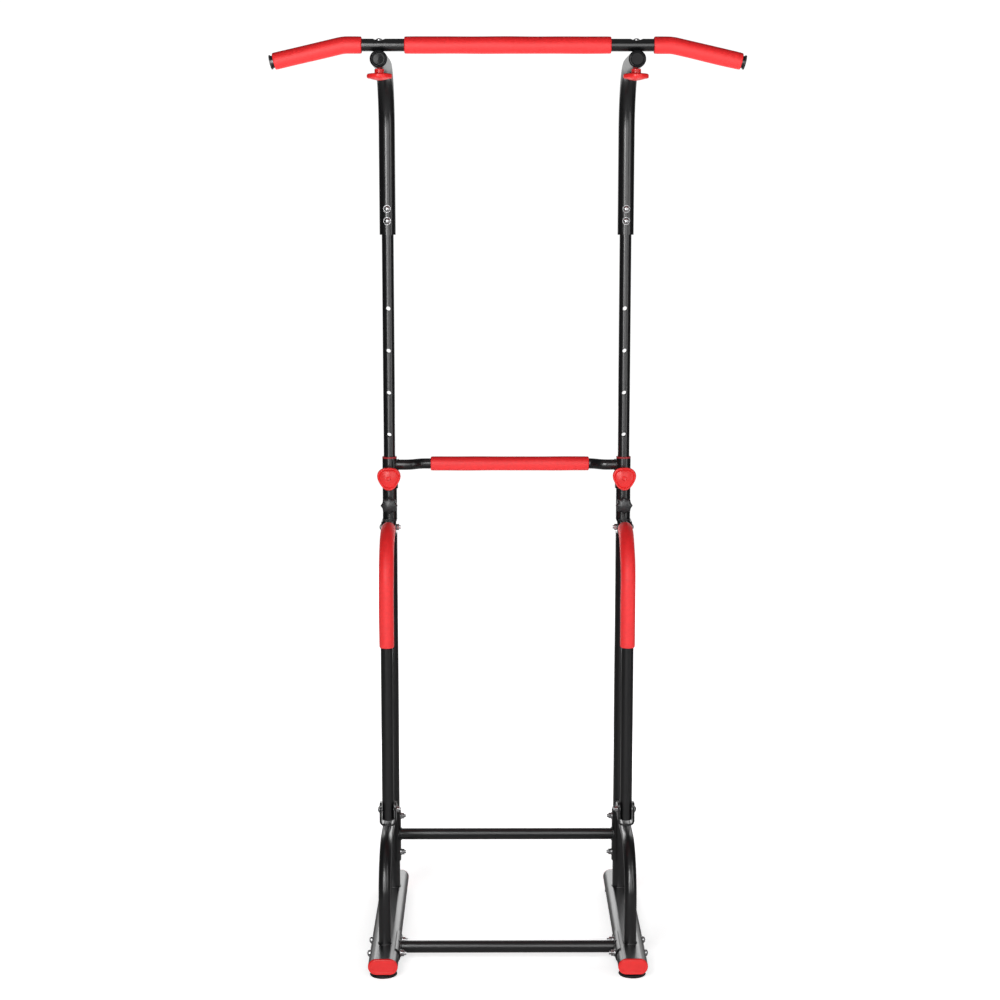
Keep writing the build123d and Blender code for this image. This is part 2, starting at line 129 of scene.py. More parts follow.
class TowerStage(bpy.types.PropertyGroup):
    focal: bpy.props.FloatProperty(name="Focal length", default=70.04,
                                   description="Lens, in millimetres")
    place: bpy.props.FloatVectorProperty(name="Camera place", default=(-0.0372, -4.4423, 1.7128),
                                         description="Where the camera stands", subtype="TRANSLATION",
                                         unit="LENGTH")
    tilt: bpy.props.FloatProperty(name="Tilt", default=math.radians(8.618), subtype="ANGLE",
                                  description="How far the camera looks down")
    turn: bpy.props.FloatProperty(name="Turn", default=math.radians(0.267), subtype="ANGLE",
                                  description="How far the camera looks to the right")


# Filled by the first step with one material for each key of FINISHES
made_finishes = {}


# ---------------------------------------------------------------- surfaces

def grid_faces(rows, columns, wrap_rows, wrap_columns):
    """Quads of a grid: cell (i, j) joins points (i, j), (i+1, j), (i+1, j+1) and (i, j+1)."""
    i = np.arange(rows if wrap_rows else rows - 1)[:, None]
    j = np.arange(columns if wrap_columns else columns - 1)[None, :]
    i2, j2 = (i + 1) % rows, (j + 1) % columns
    quads = np.stack([i * columns + j, i2 * columns + j, i2 * columns + j2, i * columns + j2], -1)
    return quads.reshape(-1, 4)


def ring_solid(points):
    """Closed ring surface: both ways round the grid of points meet their start."""
    rows, columns = points.shape[:2]
    return points.reshape(-1, 3), [grid_faces(rows, columns, True, True)]


def capped_solid(points):
    """Closed lump: each column goes round, and a single point closes the first and the last row."""
    rows, columns = points.shape[:2]
    flat = points.reshape(-1, 3)
    ends = np.stack([points[0].mean(0), points[-1].mean(0)])
    j = np.arange(columns)
    first = np.stack([np.full(columns, rows * columns), j, (j + 1) % columns], -1)
    top = (rows - 1) * columns
    last = np.stack([np.full(columns, rows * columns + 1), top + (j + 1) % columns, top + j], -1)
    return np.concatenate([flat, ends]), [grid_faces(rows, columns, False, True), first, last]


def outward(solid):
    """Turns the faces round if the volume inside, summed over face fans, comes out negative."""
    points, faces = solid
    volume = 0.0
    for group in faces:
        a = points[group[:, 0]]
        for k in range(1, group.shape[1] - 1):
            cross = np.cross(points[group[:, k]], points[group[:, k + 1]])
            volume += float((a * cross).sum())
    if volume < 0:
        faces = [group[:, ::-1] for group in faces]
    return points, faces


def make_piece(name, solids, body, slot, finish=None):
    """One mesh of one or more closed solids, which rides a body and wears its slot's finish, or
    another one by name."""
    points, faces, offset = [], [], 0
    for solid in solids:
        p, groups = outward(solid)
        points.append(p)
        for group in groups:
            faces += (group + offset).tolist()
        offset += len(p)
    mesh = bpy.data.meshes.new(name)
    mesh.from_pydata(np.concatenate(points).tolist(), [], faces)
    mesh.polygons.foreach_set("use_smooth", np.ones(len(mesh.polygons), bool))
    mesh.update()
    piece = bpy.data.objects.new(name, mesh)
    bpy.context.scene.collection.objects.link(piece)
    mesh.materials.append(made_finishes[finish or slot])
    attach(piece, body)
    return piece


def unit(v):
    v = np.asarray(v, float)
    return v / np.linalg.norm(v, axis=-1, keepdims=True)


def one_bend(start, corner, end, radius, count):
    """A straight run, an arc of the given radius in place of the corner, and a second straight run.

    With a and n the first run's direction and the way the bend turns, a point on the arc is
    radius * (sin(t) a + (1 - cos(t)) n) past the arc's start, and its direction is cos(t) a + sin(t) n.
    """
    start, corner, end = (np.asarray(p, float) for p in (start, corner, end))
    a, b = unit(corner - start), unit(end - corner)
    turn = math.acos(float(a @ b))
    cut = radius * math.tan(turn / 2)
    run = np.linalg.norm(corner - start) - cut
    tail = np.linalg.norm(end - corner) - cut
    s = np.linspace(0.0, run + radius * turn + tail, count)
    n = unit(b - a * float(a @ b))
    t = np.clip((s - run) / radius, 0.0, turn)[:, None]
    way = np.cos(t) * a + np.sin(t) * n
    points = start + np.minimum(s, run)[:, None] * a
    points = points + radius * (np.sin(t) * a + (1 - np.cos(t)) * n)
    points += np.maximum(s - run - radius * turn, 0.0)[:, None] * b
    return points, way, s


def straight(start, end, count):
    start, end = np.asarray(start, float), np.asarray(end, float)
    s = np.linspace(0.0, np.linalg.norm(end - start), count)
    way = np.tile(unit(end - start), (count, 1))
    return start + s[:, None] * way, way, s


def sleeve(path, side_axis, outer, inner, edge, swell, seed):
    """Foam sleeve: a closed profile of bore, cut end, rounded edge and skin, carried along the path.

    The profile gives a distance s along the path and a radius. A point is path(s) + radius *
    (cos(v) n + sin(v) b), with b the side axis and n = b x tangent. The skin's radius has a few
    slow waves in s and v, and it draws in a little towards both ends.
    """
    points, way, s = path
    total = s[-1]
    corner = np.linspace(0.0, math.pi / 2, 7)
    skin = np.linspace(edge, total - edge, max(40, int(total / 0.004)))
    bore = np.linspace(total, 0.0, 24)
    face = np.linspace(inner, outer - edge, 5)[1:-1]
    run = np.concatenate([bore, np.zeros(3), edge * (1 - np.cos(corner)), skin[1:-1],
                          (total - edge * (1 - np.cos(corner)))[::-1], np.full(3, total)])
    radius = np.concatenate([np.full(24, inner), face, outer - edge + edge * np.sin(corner),
                             np.full(len(skin) - 2, outer),
                             (outer - edge + edge * np.sin(corner))[::-1], face[::-1]])
    on_skin = np.clip((radius - inner) / (outer - inner), 0.0, 1.0) ** 2
    v = np.linspace(0.0, 2 * math.pi, 72, endpoint=False)
    rng = np.random.default_rng(seed)
    wave = np.zeros((len(run), len(v)))
    for _ in range(7):
        pitch, turns, phase = rng.uniform(12, 60), rng.integers(0, 4), rng.uniform(0, 6.28)
        wave += np.sin(pitch * run[:, None] + turns * v[None, :] + phase)
    draw_in = np.exp(-run / FOAM_DRAW_LENGTH) + np.exp(-(total - run) / FOAM_DRAW_LENGTH)
    sunk = swell * (wave / 3 - 1.6) - FOAM_DRAW_IN * draw_in[:, None]
    full = radius[:, None] + on_skin[:, None] * sunk
    centre = np.stack([np.interp(run, s, points[:, k]) for k in range(3)], -1)
    tangent = unit(np.stack([np.interp(run, s, way[:, k]) for k in range(3)], -1))
    normal = np.cross(side_axis, tangent)
    around = np.cos(v)[None, :, None] * normal[:, None, :] + np.sin(v)[None, :, None] * side_axis
    return ring_solid(centre[:, None, :] + full[:, :, None] * around)


def bead(curve, out, size, ripples):
    """Weld bead: a round section carried along a closed curve, its radius rippling along the way."""
    count = len(curve)
    tangent = unit(np.roll(curve, -1, 0) - np.roll(curve, 1, 0))
    across = unit(np.cross(tangent, out))
    up = np.cross(across, tangent)
    turn = np.linspace(0, 2 * math.pi, 14, endpoint=False)
    along = np.linspace(0, 2 * math.pi, count, endpoint=False)
    thick = size * (1 + 0.14 * np.abs(np.sin(ripples * along / 2)) - 0.07)
    turn = turn[None, :, None]
    section = np.cos(turn) * up[:, None, :] + np.sin(turn) * across[:, None, :]
    return ring_solid(curve[:, None, :] + thick[:, None, None] * section)


def meeting_curve(origin, direction, r, column, big):
    """Where a round tube of radius r runs into a round column of radius big.

    At angle a the tube's point is r * (cos(a) c + sin(a) c x d) off its axis, and the column's wall
    is sqrt(big^2 - (r sin(a))^2) out along d from the column's axis.
    """
    a = np.linspace(0, 2 * math.pi, 160, endpoint=False)[:, None]
    side = np.cross(column, direction)
    off = np.cos(a) * column + np.sin(a) * side
    depth = np.sqrt(big ** 2 - (r * np.sin(a)) ** 2)
    return origin + r * off + depth * direction, off


def knob_body(place, axis, up, outline, mean, profile):
    """Moulded knob: a profile of (radius, height) pairs carried round an axis.

    outline gives the rim's radius for an angle a from up. Near the middle a row is a circle, and from
    0.45 to 0.9 of the mean radius it blends, as 3 t^2 - 2 t^3, into the outline's shape.
    """
    a = np.linspace(0, 2 * math.pi, 240, endpoint=False)
    t = np.clip((profile[:, 0] / mean - 0.45) / 0.45, 0, 1)[:, None]
    stretch = 1 + t * t * (3 - 2 * t) * (outline(a)[None, :] / mean - 1)
    reach = profile[:, 0][:, None] * stretch
    side = np.cross(axis, up)
    flat = np.cos(a)[None, :, None] * up + np.sin(a)[None, :, None] * side
    return capped_solid(place + reach[:, :, None] * flat + profile[:, 1][:, None, None] * axis)


def turned(place, axis, profile, count=72):
    """Turned shape: a profile of (radius, height) pairs carried round an axis."""
    profile = np.asarray(profile, float)
    a = np.linspace(0, 2 * math.pi, count, endpoint=False)
    ref = X if abs(axis @ X) < 0.9 else Y
    u = unit(np.cross(axis, ref))
    w = np.cross(axis, u)
    around = np.cos(a)[:, None] * u + np.sin(a)[:, None] * w
    r, height = profile[:, 0][:, None, None], profile[:, 1][:, None, None]
    return capped_solid(place + r * around + height * axis)


def rounded_profile(pairs, step=0.0004):
    """Resamples a profile evenly and smooths it, which rounds its corners."""
    pairs = np.asarray(pairs, float)
    along = np.concatenate([[0], np.cumsum(np.linalg.norm(np.diff(pairs, axis=0), axis=1))])
    s = np.linspace(0, along[-1], int(along[-1] / step))
    even = np.stack([np.interp(s, along, pairs[:, k]) for k in range(2)], -1)
    padded = np.concatenate([even[:1]] * 2 + [even] + [even[-1:]] * 2)
    return (padded[:-4] + 2 * padded[1:-3] + 3 * padded[2:-2] + 2 * padded[3:-1] + padded[4:]) / 9


# ---------------------------------------------------------------- finishes

def socketed_group(name, inputs, outputs):
    """New shader group with float inputs (name, default) and named outputs (name, type)."""
    group = bpy.data.node_groups.new(name, "ShaderNodeTree")
    group.interface.new_socket("Vector", in_out="INPUT", socket_type="NodeSocketVector")
    for label, default in inputs:
        made = group.interface.new_socket(label, in_out="INPUT", socket_type="NodeSocketFloat")
        made.default_value = default
    for label, kind in outputs:
        group.interface.new_socket(label, in_out="OUTPUT", socket_type=kind)
    return group, group.nodes.new("NodeGroupInput"), group.nodes.new("NodeGroupOutput")


def node(tree, kind, links=(), **values):
    """A node with its sockets and settings set, and its inputs linked from (socket, source) pairs."""
    made = tree.nodes.new(kind)
    for key, value in values.items():
        if key in made.inputs:
            made.inputs[key].default_value = value
        else:
            setattr(made, key, value)
    for key, source in links:
        tree.links.new(source, made.inputs[key])
    return made


def noise(tree, vector, scale, detail=3.0, roughness=0.55):
    made = node(tree, "ShaderNodeTexNoise", [("Vector", vector)], Detail=detail, Roughness=roughness)
    if isinstance(scale, (int, float)):
        made.inputs["Scale"].default_value = scale
    else:
        tree.links.new(scale, made.inputs["Scale"])
    return made.outputs["Fac"]


def math_node(tree, operation, a, b):
    made = tree.nodes.new("ShaderNodeMath")
    made.operation = operation
    for k, value in enumerate((a, b)):
        if isinstance(value, (int, float)):
            made.inputs[k].default_value = value
        else:
            tree.links.new(value, made.inputs[k])
    return made.outputs[0]


def remap(tree, value, low, high, to_low, to_high):
    made = node(tree, "ShaderNodeMapRange", [("Value", value)])
    limits = {"From Min": low, "From Max": high, "To Min": to_low, "To Max": to_high}
    for key, number in limits.items():
        made.inputs[key].default_value = number
    return made.outputs["Result"]


def grain_group():
    """Skin of a moulded or coated part: fine and slow relief for the bump, and slow patches."""
    group, source, sink = socketed_group(
        "surface_grain", (("Fine scale", 900.0), ("Slow scale", 40.0), ("Fine share", 0.6)),
        (("Height", "NodeSocketFloat"), ("Patches", "NodeSocketFloat")))
    fine = noise(group, source.outputs["Vector"], source.outputs["Fine scale"], 2.0)
    slow = noise(group, source.outputs["Vector"], source.outputs["Slow scale"], 4.0, 0.6)
    share = source.outputs["Fine share"]
    mixed = math_node(group, "ADD", math_node(group, "MULTIPLY", fine, share), slow)
    group.links.new(mixed, sink.inputs["Height"])
    group.links.new(slow, sink.inputs["Patches"])
    return group


def dust_group():
    """Dust and rubs: a mask of patches that gathers on faces that look up."""
    group, source, sink = socketed_group(
        "settled_dust", (("Scale", 60.0), ("Amount", 0.3)), (("Mask", "NodeSocketFloat"),))
    patches = noise(group, source.outputs["Vector"], source.outputs["Scale"], 6.0, 0.65)
    geometry = group.nodes.new("ShaderNodeNewGeometry")
    up = node(group, "ShaderNodeSeparateXYZ", [("Vector", geometry.outputs["Normal"])])
    lift = remap(group, up.outputs["Z"], 0.0, 1.0, 0.25, 1.0)
    spots = remap(group, patches, 0.48, 0.75, 0.0, 1.0)
    mask = math_node(group, "MULTIPLY", spots, lift)
    mask = math_node(group, "MULTIPLY", mask, source.outputs["Amount"])
    group.links.new(mask, sink.inputs["Mask"])
    return group


def pore_group():
    """Closed-cell foam skin: small cells with dimpled middles under a faint unevenness."""
    group, source, sink = socketed_group(
        "foam_cells", (("Cell scale", 1100.0), ("Uneven scale", 130.0)),
        (("Height", "NodeSocketFloat"), ("Tone", "NodeSocketFloat")))
    cells = node(group, "ShaderNodeTexVoronoi",
                 [("Vector", source.outputs["Vector"]), ("Scale", source.outputs["Cell scale"])])
    uneven = noise(group, source.outputs["Vector"], source.outputs["Uneven scale"], 5.0, 0.6)
    dome = math_node(group, "MULTIPLY", cells.outputs["Distance"], 0.55)
    height = math_node(group, "ADD", dome, math_node(group, "MULTIPLY", uneven, 1.4))
    tone = math_node(group, "ADD", math_node(group, "MULTIPLY", cells.outputs["Distance"], 0.5), uneven)
    group.links.new(height, sink.inputs["Height"])
    group.links.new(tone, sink.inputs["Tone"])
    return group


def place_group(tree, name, vector, **values):
    made = tree.nodes.new("ShaderNodeGroup")
    made.node_tree = bpy.data.node_groups[name]
    tree.links.new(vector, made.inputs["Vector"])
    for key, value in values.items():
        made.inputs[key.replace("_", " ")].default_value = value
    return made


def blank_material(name):
    material = bpy.data.materials.new(name)
    material.use_nodes = True
    tree = material.node_tree
    shader = tree.nodes["Principled BSDF"]
    vector = tree.nodes.new("ShaderNodeTexCoord").outputs["Object"]
    return material, tree, shader, vector


def mix_colour(tree, factor, a, b):
    """Mixes two colours, or a colour and a colour socket, by a factor socket."""
    made = tree.nodes.new("ShaderNodeMix")
    made.data_type = "RGBA"
    tree.links.new(factor, made.inputs[0])
    for k, value in ((6, a), (7, b)):
        if isinstance(value, bpy.types.NodeSocket):
            tree.links.new(value, made.inputs[k])
        else:
            made.inputs[k].default_value = (*value, 1.0)
    return made.outputs[2]


def relief(tree, shader, height, strength, distance):
    bump = node(tree, "ShaderNodeBump", [("Height", height)], Strength=strength, Distance=distance)
    tree.links.new(bump.outputs["Normal"], shader.inputs["Normal"])


def shade(colour_value, factor):
    return tuple(min(1.0, c * factor) for c in colour_value)


def surface(name, tint, shades, grain, dust, rough, bump, gloss=0.5, metal=0.0, rubbed=False):
    """Moulded, coated or plated skin: a tint in slow patches, under dust if there is any.

    shades darkens and lightens the tint. grain is (fine scale, slow scale, fine share), dust is
    (scale, amount, tint) or None, rough is the roughness from patch to patch, and bump is
    (strength, distance). Where the skin is rubbed, the dust dulls it too.
    """
    material, tree, shader, vector = blank_material(name)
    skin = place_group(tree, "surface_grain", vector, Fine_scale=grain[0], Slow_scale=grain[1],
                       Fine_share=grain[2])
    patches = skin.outputs["Patches"]
    base = mix_colour(tree, patches, shade(tint, shades[0]), shade(tint, shades[1]))
    roughness = remap(tree, patches, 0.3, 0.7, *rough)
    if dust:
        scale, amount, dust_tint = dust
        mask = place_group(tree, "settled_dust", vector, Scale=scale, Amount=amount).outputs["Mask"]
        base = mix_colour(tree, mask, base, dust_tint)
        if rubbed:
            roughness = math_node(tree, "ADD", roughness, mask)
    tree.links.new(base, shader.inputs["Base Color"])
    tree.links.new(roughness, shader.inputs["Roughness"])
    shader.inputs["Specular IOR Level"].default_value = gloss
    shader.inputs["Metallic"].default_value = metal
    relief(tree, shader, skin.outputs["Height"], *bump)
    return material


def powder_coat(colours):
    material = surface("black_powder_coat", colours.paint, (0.75, 1.3), (620.0, 24.0, 0.8),
                       (85.0, 0.02, (0.20, 0.20, 0.20)), (0.29, 0.315), (0.05, 0.0002),
                       gloss=0.9, rubbed=True)
    shader = material.node_tree.nodes["Principled BSDF"]
    shader.inputs["Coat Weight"].default_value = 0.5
    shader.inputs["Coat Roughness"].default_value = 0.20
    return material


def red_foam(colours):
    material, tree, shader, vector = blank_material("red_foam")
    cells = place_group(tree, "foam_cells", vector, Cell_scale=1150.0, Uneven_scale=150.0)
    tone = remap(tree, cells.outputs["Tone"], 0.35, 1.0, 0.0, 1.0)
    base = mix_colour(tree, tone, shade(colours.foam, 0.84), shade(colours.foam, 1.08))
    tree.links.new(base, shader.inputs["Base Color"])
    tree.links.new(remap(tree, cells.outputs["Tone"], 0.3, 1.1, 0.42, 0.56), shader.inputs["Roughness"])
    shader.inputs["Specular IOR Level"].default_value = 0.65
    shader.inputs["Sheen Weight"].default_value = 0.04
    shader.inputs["Sheen Roughness"].default_value = 0.45
    shader.inputs["Sheen Tint"].default_value = (1.0, 0.80, 0.80, 1.0)
    relief(tree, shader, cells.outputs["Height"], 0.35, 0.0006)
    return material


def moulded_red(name, tint):
    return surface(name, tint, (0.9, 1.08), (1400.0, 60.0, 0.5), None, (0.29, 0.32), (0.02, 0.0002))


def red_plastic(colours):
    return moulded_red("red_moulded_plastic", colours.plastic)


# A darker copy of the red moulded plastic for the bushing rings: painted shade
def shade_darkened_ring_plastic(colours):
    return moulded_red("shade_darkened_red_plastic", colours.ring)


def black_plastic(colours):
    return surface("black_moulded_plastic", colours.dark, (1.0, 1.0), (1700.0, 80.0, 0.9),
                   (140.0, 0.04, (0.16, 0.16, 0.16)), (0.30, 0.42), (0.08, 0.0003), gloss=0.9)


def plug_plastic(colours):
    return surface("glossy_plug_plastic", colours.plug, (1.0, 1.0), (1500.0, 70.0, 0.7),
                   (160.0, 0.02, (0.16, 0.16, 0.16)), (0.16, 0.24), (0.02, 0.0002), gloss=0.2)


def foot_rubber(colours):
    return surface("suction_foot_rubber", colours.rubber, (1.0, 1.0), (1200.0, 90.0, 0.7),
                   (200.0, 0.35, (0.22, 0.21, 0.20)), (0.50, 0.66), (0.2, 0.0004))


def zinc_plate(colours):
    return surface("zinc_plated_steel", colours.zinc, (0.85, 1.1), (1500.0, 160.0, 0.4),
                   (300.0, 0.25, (0.30, 0.28, 0.25)), (0.22, 0.38), (0.08, 0.0002), metal=1.0)


FINISHES = {
    "black_paint": powder_coat,
    "red_foam": red_foam,
    "red_plastic": red_plastic,
    "black_plastic": black_plastic,
    "foot_rubber": foot_rubber,
    "zinc_steel": zinc_plate,
    "plug": plug_plastic,
    "ring": shade_darkened_ring_plastic,
}
# ---------------------------------------------------------------- operators

class TOWER_OT_finishes(bpy.types.Operator):
    """Mix the finishes and coat every node of the frame with the one its slot names; the bushing rings
    get a darker copy of the red plastic as painted shade
    """
    bl_idname = "tower.finishes"
    bl_label = "Finishes"

    def execute(self, context):
        grain_group()
        dust_group()
        pore_group()
        for slot, make in FINISHES.items():
            made_finishes[slot] = make(context.scene.tower_colours)
        for part in frame["record"]["subparts"]:
            mesh = frame["nodes"][part["node"]].data
            mesh.materials.clear()
            # The bushing rings take the darker red copy, whose darkness is painted shade
            ring = part["node"].startswith("post_bushing")
            mesh.materials.append(made_finishes["ring" if ring else part["material_slot"]])
        return {"FINISHED"}


class TOWER_OT_bar_foam(bpy.types.Operator):
    """Fit the pull-up bar's long foam and its two drooping grips"""
    bl_idname = "tower.bar_foam"
    bl_label = "Pull-up bar foam"

    def execute(self, context):
        sizes = context.scene.tower_sizes
        bar = span("pull_up_bar")[1] / 2 + FOAM_CLEARANCE
        low, high = corners("bar_foam_centre")
        centre = (low + high) / 2
        outer = (high[2] - low[2]) / 2
        path = straight((low[0], centre[1], centre[2]), (high[0], centre[1], centre[2]), 120)
        self.fit("centre", path, outer, bar, sizes, 3)
        for side, s in SIDES:
            low, high = corners("bar_foam_" + side)
            inner_x, tip_x = (high[0], low[0]) if s < 0 else (low[0], high[0])
            end_x = tip_x - s * outer * math.sin(sizes.grip_drop)
            end_z = low[2] + outer * math.cos(sizes.grip_drop)
            knee_x = end_x - s * (centre[2] - end_z) / math.tan(sizes.grip_drop)
            path = one_bend((inner_x, centre[1], centre[2]), (knee_x, centre[1], centre[2]),
                            (end_x, centre[1], end_z), sizes.grip_bend, 120)
            self.fit(side, path, outer, bar, sizes, 5 + s)
        return {"FINISHED"}

    def fit(self, label, path, outer, bar, sizes, seed):
        solid = sleeve(path, Y, outer, bar, sizes.foam_edge, sizes.foam_swell, seed)
        piece = make_piece("bar_grip_foam_" + label, [solid], "mast", "red_foam")
        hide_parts("bar_foam_" + label)


class TOWER_OT_arm_foam(bpy.types.Operator):
    """Fit the foam over the top bend of each dip arm"""
    bl_idname = "tower.arm_foam"
    bl_label = "Dip arm foam"

    def execute(self, context):
        sizes = context.scene.tower_sizes
        for side, s in SIDES:
            low, high = corners("dip_foam_" + side)
            outer = (high[0] - low[0]) / 2
            x = (low[0] + high[0]) / 2
            arm = span("dip_arm_" + side)[0] / 2 + FOAM_CLEARANCE
            level, front = high[2] - outer, low[1] + outer
            path = one_bend((x, high[1], level), (x, front, level), (x, front, low[2]),
                            sizes.arm_bend, 160)
            solid = sleeve(path, X, outer, arm, sizes.foam_edge, sizes.foam_swell, 20 + s)
            piece = make_piece("dip_arm_foam_" + side, [solid], "frame", "red_foam")
            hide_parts("dip_foam_" + side)
        return {"FINISHED"}


class TOWER_OT_mid_foam(bpy.types.Operator):
    """Fit the foam on the mid bar"""
    bl_idname = "tower.mid_foam"
    bl_label = "Mid bar foam"

    def execute(self, context):
        sizes = context.scene.tower_sizes
        low, high = corners("mid_bar_foam")
        centre = (low + high) / 2
        outer = (high[2] - low[2]) / 2
        path = straight((low[0], centre[1], centre[2]), (high[0], centre[1], centre[2]), 100)
        solid = sleeve(path, Y, outer, sizes.mid_bar + FOAM_CLEARANCE, sizes.foam_edge,
                       sizes.foam_swell, 31)
        piece = make_piece("mid_bar_pad", [solid], "frame", "red_foam")
        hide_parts("mid_bar_foam")
        return {"FINISHED"}


class TOWER_OT_lobed_knobs(bpy.types.Operator):
    """Mould the red three-lobed knobs: two pull pins in front and two nuts under the pull-up bar"""
    bl_idname = "tower.lobed_knobs"
    bl_label = "Red lobed knobs"

    def execute(self, context):
        sizes = context.scene.tower_sizes
        front = sizes.knob_disc + sizes.knob_crown
        for side, _ in SIDES:
            low, high = corners("pin_knob_" + side)
            place = np.array(((low[0] + high[0]) / 2, high[1], middle("lock_pin_" + side)[2]))
            depth = high[1] - low[1]
            solid = self.knob(place, -Y, -Z, depth, depth - front, 0.0006, sizes)
            self.fit("pin_grip_" + side, solid, "pin_" + side, "pin_knob_" + side)

            low, high = corners("top_knob_" + side)
            place = np.array((middle("mast_plug_" + side)[0], middle("bar_bolts")[1], high[2]))
            depth = high[2] - low[2]
            solid = self.knob(place, -Z, -Y, depth, depth - front, 0.0045, sizes)
            self.fit("bar_clamp_grip_" + side, solid, "knob_" + side, "top_knob_" + side)
        return {"FINISHED"}

    def knob(self, place, axis, up, depth, hub, bore, sizes):
        """Hub, disc with a rounded rim, a fine groove inside the rim and a crown with a dimple.

        The outline is tip - waist * (1 - cos(3 a)) / 2.
        """
        tip, waist = sizes.knob_tip, sizes.knob_waist
        mean = tip - waist / 2
        rim = hub + sizes.knob_disc
        profile = [(0.0004, 0.0015), (bore, 0.0015), (bore + 0.0003, 0.0), (sizes.knob_hub, 0.0),
                   (sizes.knob_hub, hub), (mean - 0.0022, hub), (mean, hub + 0.0022),
                   (mean, rim - 0.0030), (mean - 0.0009, rim - 0.0009), (mean - 0.0030, rim),
                   (mean - 0.0042, rim - 0.0001),
                   (mean - 0.0051, rim - 0.0022), (mean - 0.0062, rim - 0.0001)]
        r = np.linspace(mean - 0.0075, 0.0058, 10)
        top = depth - 0.0004
        dome = rim + (top - rim) * (1 - (r / (mean - 0.0060)) ** 2)
        profile += list(zip(r, dome))
        profile += [(0.0050, top - 0.0004), (0.0042, top - 0.0034), (0.0016, top - 0.0040),
                    (0.0004, top - 0.0040)]
        return knob_body(place, axis, up, lambda a: tip - waist * (1 - np.cos(3 * a)) / 2, mean,
                         rounded_profile(profile, 0.0003))

    def fit(self, name, solid, body, node_name):
        piece = make_piece(name, [solid], body, "red_plastic")
        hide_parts(node_name)


class TOWER_OT_star_knobs(bpy.types.Operator):
    """Mould the black star knobs of the clamp screws"""
    bl_idname = "tower.star_knobs"
    bl_label = "Black star knobs"

    def execute(self, context):
        for side, _ in SIDES:
            low, high = corners("clamp_knob_" + side)
            tip = (high[2] - low[2]) / 2
            place = np.array(((low[0] + high[0]) / 2, high[1], (low[2] + high[2]) / 2))
            solid = self.star(place, tip, high[1] - low[1])
            piece = make_piece("star_grip_" + side, [solid], "clamp_" + side, "black_plastic")
            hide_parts("clamp_knob_" + side)
        return {"FINISHED"}

    def star(self, place, tip, depth):
        """Eight blunt teeth, tip - 0.15 tip * (sin(4 a)^2 + 0.02)^(1/2), and one low dome for a face."""
        mean = tip * 0.90
        rim = depth * 0.66
        profile = [(0.0004, 0.0), (mean * 0.62, 0.0), (mean * 0.66, 0.004), (mean - 0.0012, 0.005),
                   (mean, 0.0066), (mean, rim - 0.0016), (mean - 0.0008, rim - 0.0002)]
        r = np.linspace(mean - 0.0024, 0.0004, 24)
        dome = rim + (depth - rim - 0.0002) * (1 - (r / mean) ** 2) ** 0.8
        profile = rounded_profile(profile + list(zip(r, dome)), 0.0003)
        return knob_body(place, -Y, Z, lambda a: tip - 0.15 * tip * np.sqrt(np.sin(4 * a) ** 2 + 0.02),
                         mean, profile)


class TOWER_OT_mast_plugs(bpy.types.Operator):
    """Mould the black plugs that close the mast tubes' front ends"""
    bl_idname = "tower.mast_plugs"
    bl_label = "Mast plugs"

    def execute(self, context):
        for side, _ in SIDES:
            low, high = corners("mast_plug_" + side)
            mouth = corners("mast_tube_" + side)[0][1]
            r = (high[0] - low[0]) / 2
            place = np.array(((low[0] + high[0]) / 2, mouth, (low[2] + high[2]) / 2))
            solid = self.plug(place, r, mouth - low[1], high[1] - mouth)
            piece = make_piece("round_plug_" + side, [solid], "mast", "black_plastic", "plug")
            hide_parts("mast_plug_" + side)
        return {"FINISHED"}

    def plug(self, place, r, height, stub):
        """A flange that slopes up to a raised ring, round a sunk face."""
        profile = [(0.0005, -stub), (r - 0.0024, -stub), (r - 0.0024, 0.0), (r - 0.0004, 0.0),
                   (r, 0.0005), (r, 0.0014), (r - 0.0016, height - 0.0010),
                   (r - 0.0034, height - 0.0004), (r - 0.0044, height),
                   (r - 0.0052, height - 0.0003), (r - 0.0058, height - 0.0028),
                   (r - 0.0075, height - 0.0030), (0.0005, height - 0.0024)]
        return turned(place, -Y, rounded_profile(profile, 0.0003))


